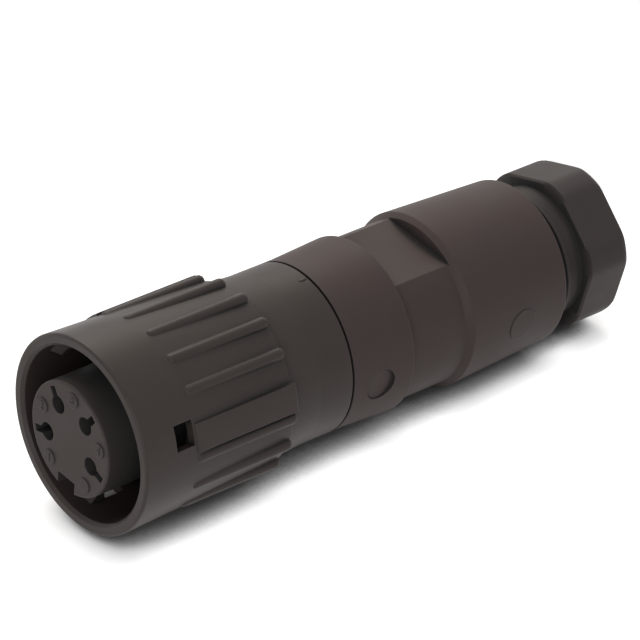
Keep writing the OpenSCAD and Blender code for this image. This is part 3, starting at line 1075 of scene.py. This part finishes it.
@dataclass
class Studio:
    """White studio: floor, lamps, sky light and the camera at the photograph's angle.

    Args:
        target: what the lamps point at.
        floor_half: half of the floor's width, and how far it reaches to the front.
        floor_rear: how far the floor reaches to the rear.
        ring_foot: station and height at which the ring rests.
        shell_foot: station and height at which the backshell rests.
        floor_colour: the floor's colour, which lights the plug from below.
        foot_colour: its darker colour below the plug, painted shade.
        floor_glow: its brightness where it is seen.
        shade_reach: how far the plug's painted near shade reaches.
        deep_reach: how far its painted deep shade reaches.
        deep_full: share of open sky at which the deep shade is full.
        deep_none: share of open sky at which it ends.
        sky_top: the sky's light from above.
        sky_low: its light from the sides.
        eye: where the camera stands.
        right: the camera's direction to the right.
        up: its direction up.
        lens: its focal length in millimetres.
        sensor: its sensor's width in millimetres.
        near: the nearest distance that it shows.
        far: the farthest distance that it shows.
        lamps: the lamps.
    """

    target: tuple[float, float, float] = (0.038, 0.0, 0.0)
    floor_half: float = 0.30
    floor_rear: float = 0.10
    ring_foot: tuple[float, float] = (0.0229, -0.0126)
    shell_foot: tuple[float, float] = (0.0523, -0.0113)
    floor_colour: Colour = (0.45, 0.45, 0.45)
    foot_colour: Colour = (0.20, 0.20, 0.20)
    floor_glow: float = 0.92
    shade_reach: float = 0.004
    deep_reach: float = 0.012
    deep_full: float = 0.17
    deep_none: float = 0.4
    sky_top: float = 0.55
    sky_low: float = 0.15
    eye: tuple[float, float, float] = (-0.30414, -0.3839, 0.31177)
    right: tuple[float, float, float] = (0.7627, -0.6456, 0.0385)
    up: tuple[float, float, float] = (0.3086, 0.4155, 0.8557)
    lens: float = 281.25
    sensor: float = 36.0
    near: float = 0.05
    far: float = 5.0
    lamps: tuple[Lamp, ...] = field(
        default_factory=lambda: (
            Lamp("key_lamp", (0.18, 0.42, 0.52), 0.45, 2.65, (1.0, 0.94, 0.86)),
            Lamp("front_lamp", (-0.45, -0.42, 0.13), 0.50, 1.5),
        )
    )

    def floor_height(self, x: float) -> float:
        """Gives the floor's height at a station: the plug lies on its ring and its backshell."""
        (ring_x, ring_z), (shell_x, shell_z) = self.ring_foot, self.shell_foot
        return ring_z + (x - ring_x) * (shell_z - ring_z) / (shell_x - ring_x)

    def floor_material(self) -> bpy.types.Material:
        """Builds the floor's material, which reads as white, keeps the lamps' shadow in its matt part and
        has a contact shadow painted into its glow and colour.

        Returns:
            The material.
        """
        made, graph, _ = new_material("floor_white")
        made.node_tree.nodes.clear()
        # Painted contact shadow: occlusion darkens the glow near the plug and turns the colour to the foot
        # colour under it.
        near = graph.add("ShaderNodeAmbientOcclusion", {"Distance": self.shade_reach})
        deep = graph.add("ShaderNodeAmbientOcclusion", {"Distance": self.deep_reach})
        lit = graph.ramp(deep.outputs["AO"], self.deep_full, self.deep_none)
        colour = graph.blend(lit, self.foot_colour, self.floor_colour)
        matt = graph.add("ShaderNodeBsdfDiffuse", {"Color": colour})
        shade = graph.math("MULTIPLY", near.outputs["AO"], lit)
        glow = graph.math("MULTIPLY", seen_directly(graph), self.floor_glow)
        light = graph.add("ShaderNodeEmission", {"Strength": graph.math("MULTIPLY", glow, shade)})
        both = graph.add("ShaderNodeAddShader")
        graph.put(matt.outputs[0], both.inputs[0])
        graph.put(light.outputs[0], both.inputs[1])
        graph.add("ShaderNodeOutputMaterial", {"Surface": both.outputs[0]})
        return made

    def build_floor(self) -> None:
        """Builds the floor."""
        front, rear, half = -self.floor_half, self.floor_rear, self.floor_half
        corners = ((front, -half), (rear, -half), (rear, half), (front, half))
        points = [Vector((x, y, self.floor_height(x))) for x, y in corners]
        mesh = mesh_from("floor", points, [range(len(points))])
        floor = bpy.data.objects.new("floor", mesh)
        bpy.context.scene.collection.objects.link(floor)
        mesh.materials.append(self.floor_material())

    def build_sky(self) -> None:
        """Builds the sky: white where it is seen, and a weaker light on the plug, mostly from above."""
        world = bpy.data.worlds.new("studio_sky")
        world.use_nodes = True
        graph = Graph(world.node_tree)
        world.node_tree.nodes.clear()
        place = graph.add("ShaderNodeTexCoord").outputs["Generated"]
        height = graph.add("ShaderNodeSeparateXYZ", {"Vector": place}).outputs["Z"]
        share = graph.ramp(height, 0.0, 1.0)
        level = graph.math("MULTIPLY_ADD", share, self.sky_top - self.sky_low, self.sky_low)
        dim = graph.add("ShaderNodeBackground", {"Color": rgba(WHITE), "Strength": level})
        white = graph.add("ShaderNodeBackground", {"Color": rgba(WHITE), "Strength": 1.0})
        both = graph.add("ShaderNodeMixShader", {"Fac": seen_directly(graph)})
        graph.put(dim.outputs[0], both.inputs[1])
        graph.put(white.outputs[0], both.inputs[2])
        graph.add("ShaderNodeOutputWorld", {"Surface": both.outputs[0]})
        bpy.context.scene.world = world

    def build_camera(self) -> None:
        """Builds the camera."""
        data = bpy.data.cameras.new("camera")
        data.lens = self.lens
        data.sensor_width = self.sensor
        data.clip_start = self.near
        data.clip_end = self.far
        camera = bpy.data.objects.new("camera", data)
        right, up = Vector(self.right).normalized(), Vector(self.up)
        back = right.cross(up).normalized()
        up = back.cross(right)
        turn = Matrix((right, up, back)).transposed().to_4x4()
        camera.matrix_world = Matrix.Translation(self.eye) @ turn
        bpy.context.scene.collection.objects.link(camera)
        bpy.context.scene.camera = camera

    def build(self) -> None:
        """Builds the studio."""
        self.build_floor()
        self.build_sky()
        self.build_camera()
        for lamp in self.lamps:
            lamp.build(Vector(self.target))
        bpy.context.scene.view_settings.view_transform = "Standard"


def main() -> None:
    """Builds the sub-assemblies in order, then the studio."""
    logging.basicConfig(level=logging.INFO, format="%(name)s: %(message)s")
    shop = Workshop()
    for assembly in (CouplingRing(), ContactInsert(), Barrel(), Backshell(), ClampScrew()):
        assembly.build(shop)
        LOG.info("%s done", type(assembly).__name__)
    Studio().build()


if __name__ == "__main__":
    main()
